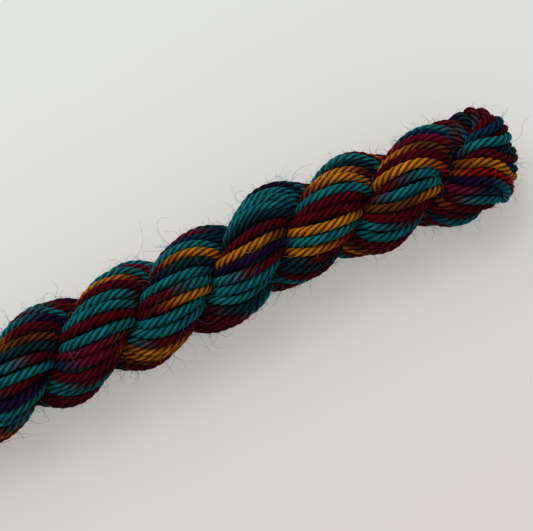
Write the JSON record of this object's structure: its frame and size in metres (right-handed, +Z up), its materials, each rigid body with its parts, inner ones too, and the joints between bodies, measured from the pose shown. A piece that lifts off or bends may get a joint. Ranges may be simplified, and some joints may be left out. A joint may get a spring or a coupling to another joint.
{
  "type": "hank of yarn",
  "caption": "Small hank of plied wool yarn, twisted, folded in half and tucked into itself, lying flat on its side.",
  "frame": {"origin": "on the surface that the hank rests on, below the middle of its box", "axes": "+X runs along the hank towards its fold end, +Z is up, and +Y is to the left of +X"},
  "size_m": [0.236, 0.0356, 0.0297],
  "materials": {
    "dyed_wool": "matt hand-dyed plied wool in burgundy, teal, gold, navy and purple, with a fine halo of loose fibres"
  },
  "bodies": {
    "root": {"hank": "dyed_wool"}
  },
  "joints": []
}
